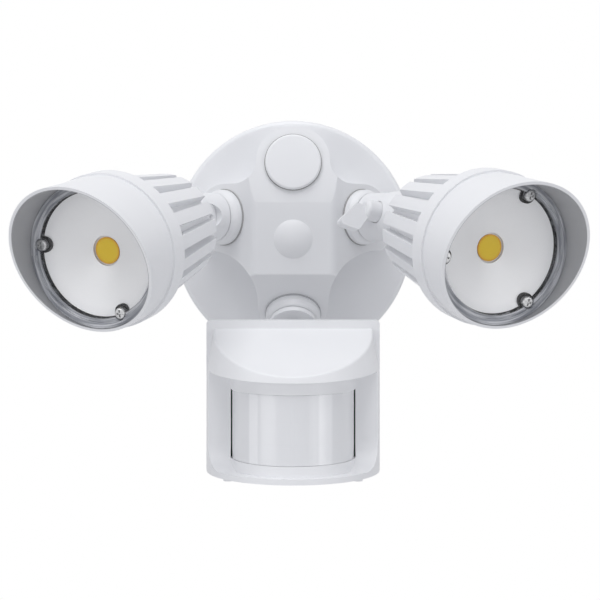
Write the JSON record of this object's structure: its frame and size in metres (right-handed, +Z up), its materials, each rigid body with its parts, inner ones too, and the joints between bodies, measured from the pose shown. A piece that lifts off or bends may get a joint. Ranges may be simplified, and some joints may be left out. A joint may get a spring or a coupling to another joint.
{
  "type": "motion sensor security light",
  "caption": "Wall-mounted outdoor flood light with hooded, finned lamp heads on jointed arms and a visored motion sensor below, all on a round back plate.",
  "frame": {"origin": "centre of the wall box screw pattern, on the wall plane", "axes": "+Y into the wall, -Y out towards the viewer, +Z up, +X to the viewer's right"},
  "size_m": [0.2569, 0.1587, 0.1816],
  "materials": {
    "white_paint": "semi-gloss white powder coat",
    "white_plastic": "satin white moulded plastic",
    "milky_lens": "translucent milky plastic",
    "clear_lens": "clear smooth",
    "reflector_white": "matte white",
    "light_source": "yellow phosphor",
    "metal_board": "plain",
    "black_rubber": "matte",
    "grey_rubber": "matte",
    "steel": "zinc plated",
    "washer_plastic": "natural nylon",
    "board_green": "solder mask",
    "detector_metal": "plain can",
    "relay_black": "moulded",
    "potting_black": "set resin",
    "light_cell_clear": "clear resin",
    "ground_green": "green screw"
  },
  "bodies": {
    "canopy": {"back_plate": "white_paint", "wall_gasket": "grey_rubber", "mounting_strap": "steel", "centre_screw": "steel", "centre_cap": "white_plastic", "ground_screw": "ground_green", "driver_case": "relay_black", "driver_potting": "potting_black", "driver_screws": "steel", "port_plug": "white_plastic", "plug_seal": "black_rubber", "plug_nut": "steel", "left_seal": "black_rubber", "left_lock_nut": "white_paint", "right_seal": "black_rubber", "right_lock_nut": "white_paint", "sensor_seal": "black_rubber", "sensor_lock_nut": "white_paint"},
    "left_arm": {"left_arm": "white_paint", "left_inner_nut": "steel", "left_friction_washer": "washer_plastic", "left_tilt_bolt": "steel", "left_clamp_lever": "white_paint"},
    "right_arm": {"right_arm": "white_paint", "right_inner_nut": "steel", "right_friction_washer": "washer_plastic", "right_tilt_bolt": "steel", "right_clamp_lever": "white_paint"},
    "sensor_arm": {"sensor_arm": "white_paint", "sensor_inner_nut": "steel", "sensor_friction_washer": "washer_plastic", "sensor_tilt_bolt": "steel", "sensor_clamp_lever": "white_paint"},
    "left_lamp": {"left_heat_sink": "white_paint", "left_emitter_board": "metal_board", "left_emitter": "light_source", "left_reflector": "reflector_white", "left_lens_gasket": "black_rubber", "left_lens": "clear_lens", "left_lens_screws": "steel", "left_hood": "white_paint"},
    "right_lamp": {"right_heat_sink": "white_paint", "right_emitter_board": "metal_board", "right_emitter": "light_source", "right_reflector": "reflector_white", "right_lens_gasket": "black_rubber", "right_lens": "clear_lens", "right_lens_screws": "steel", "right_hood": "white_paint"},
    "sensor_head": {"rear_case": "white_plastic", "front_case": "white_plastic", "sensor_lens": "milky_lens", "case_screws": "steel", "circuit_board": "board_green", "heat_detector": "detector_metal", "light_cell": "light_cell_clear", "relay": "relay_black"},
    "sensitivity_knob": {"sensitivity_knob": "white_plastic"},
    "time_knob": {"time_knob": "white_plastic"},
    "light_level_knob": {"light_level_knob": "white_plastic"}
  },
  "joints": [
    {"name": "left_arm_swivel", "type": "hinge", "parent": "canopy", "child": "left_arm", "pos_m": [-0.036, -0.021, 0.0114], "axis": [-0.7071, -0.7071, 0], "range_deg": [-170, 170]},
    {"name": "left_lamp_tilt", "type": "hinge", "parent": "left_arm", "child": "left_lamp", "pos_m": [-0.05318, -0.03818, 0.0114], "axis": [0.9089, -0.416, 0.0294], "range_deg": [-62, 30]},
    {"name": "right_arm_swivel", "type": "hinge", "parent": "canopy", "child": "right_arm", "pos_m": [0.036, -0.021, 0.0114], "axis": [0.7071, -0.7071, 0], "range_deg": [-158, 180]},
    {"name": "right_lamp_tilt", "type": "hinge", "parent": "right_arm", "child": "right_lamp", "pos_m": [0.05318, -0.03818, 0.0114], "axis": [0.8948, 0.4018, -0.1949], "range_deg": [-64, 28]},
    {"name": "sensor_arm_swivel", "type": "hinge", "parent": "canopy", "child": "sensor_arm", "pos_m": [0, -0.017, -0.0394], "axis": [0, -0.7431, -0.6691], "range_deg": [-25, 25]},
    {"name": "sensor_tilt", "type": "hinge", "parent": "sensor_arm", "child": "sensor_head", "pos_m": [0, -0.03669, -0.05713], "axis": [1, 0, 0], "range_deg": [-30, 40]},
    {"name": "sensitivity_turn", "type": "hinge", "parent": "sensor_head", "child": "sensitivity_knob", "pos_m": [-0.0316, -0.0676, -0.11353], "axis": [0, 0, -1], "range_deg": [-135, 135]},
    {"name": "time_turn", "type": "hinge", "parent": "sensor_head", "child": "time_knob", "pos_m": [0, -0.0676, -0.11353], "axis": [0, 0, -1], "range_deg": [-135, 135]},
    {"name": "light_level_turn", "type": "hinge", "parent": "sensor_head", "child": "light_level_knob", "pos_m": [0.0316, -0.0676, -0.11353], "axis": [0, 0, -1], "range_deg": [-135, 135]}
  ]
}
